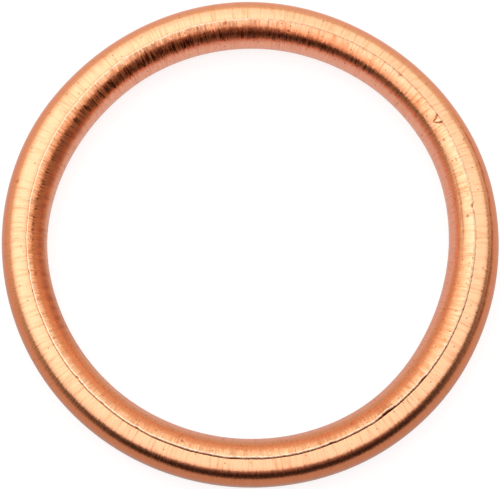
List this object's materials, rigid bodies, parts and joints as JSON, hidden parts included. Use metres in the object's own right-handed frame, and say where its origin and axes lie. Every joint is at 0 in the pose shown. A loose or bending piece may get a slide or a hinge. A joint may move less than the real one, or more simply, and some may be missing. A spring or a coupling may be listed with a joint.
{
  "type": "exhaust gasket",
  "caption": "Round exhaust gasket of sheet copper, rolled into a hollow ring with a lapped seam along its crown.",
  "frame": {"origin": "centre of the ring, on the surface that its underside rests on", "axes": "+Z along the ring's axis, up through the side that carries the seam; the ring is the same all round, so +X is any radius"},
  "size_m": [0.047, 0.047, 0.0048],
  "materials": {
    "copper": "satin copper, drawn fine across the section, as rolled"
  },
  "bodies": {
    "root": {"gasket_ring": "copper"}
  },
  "joints": []
}
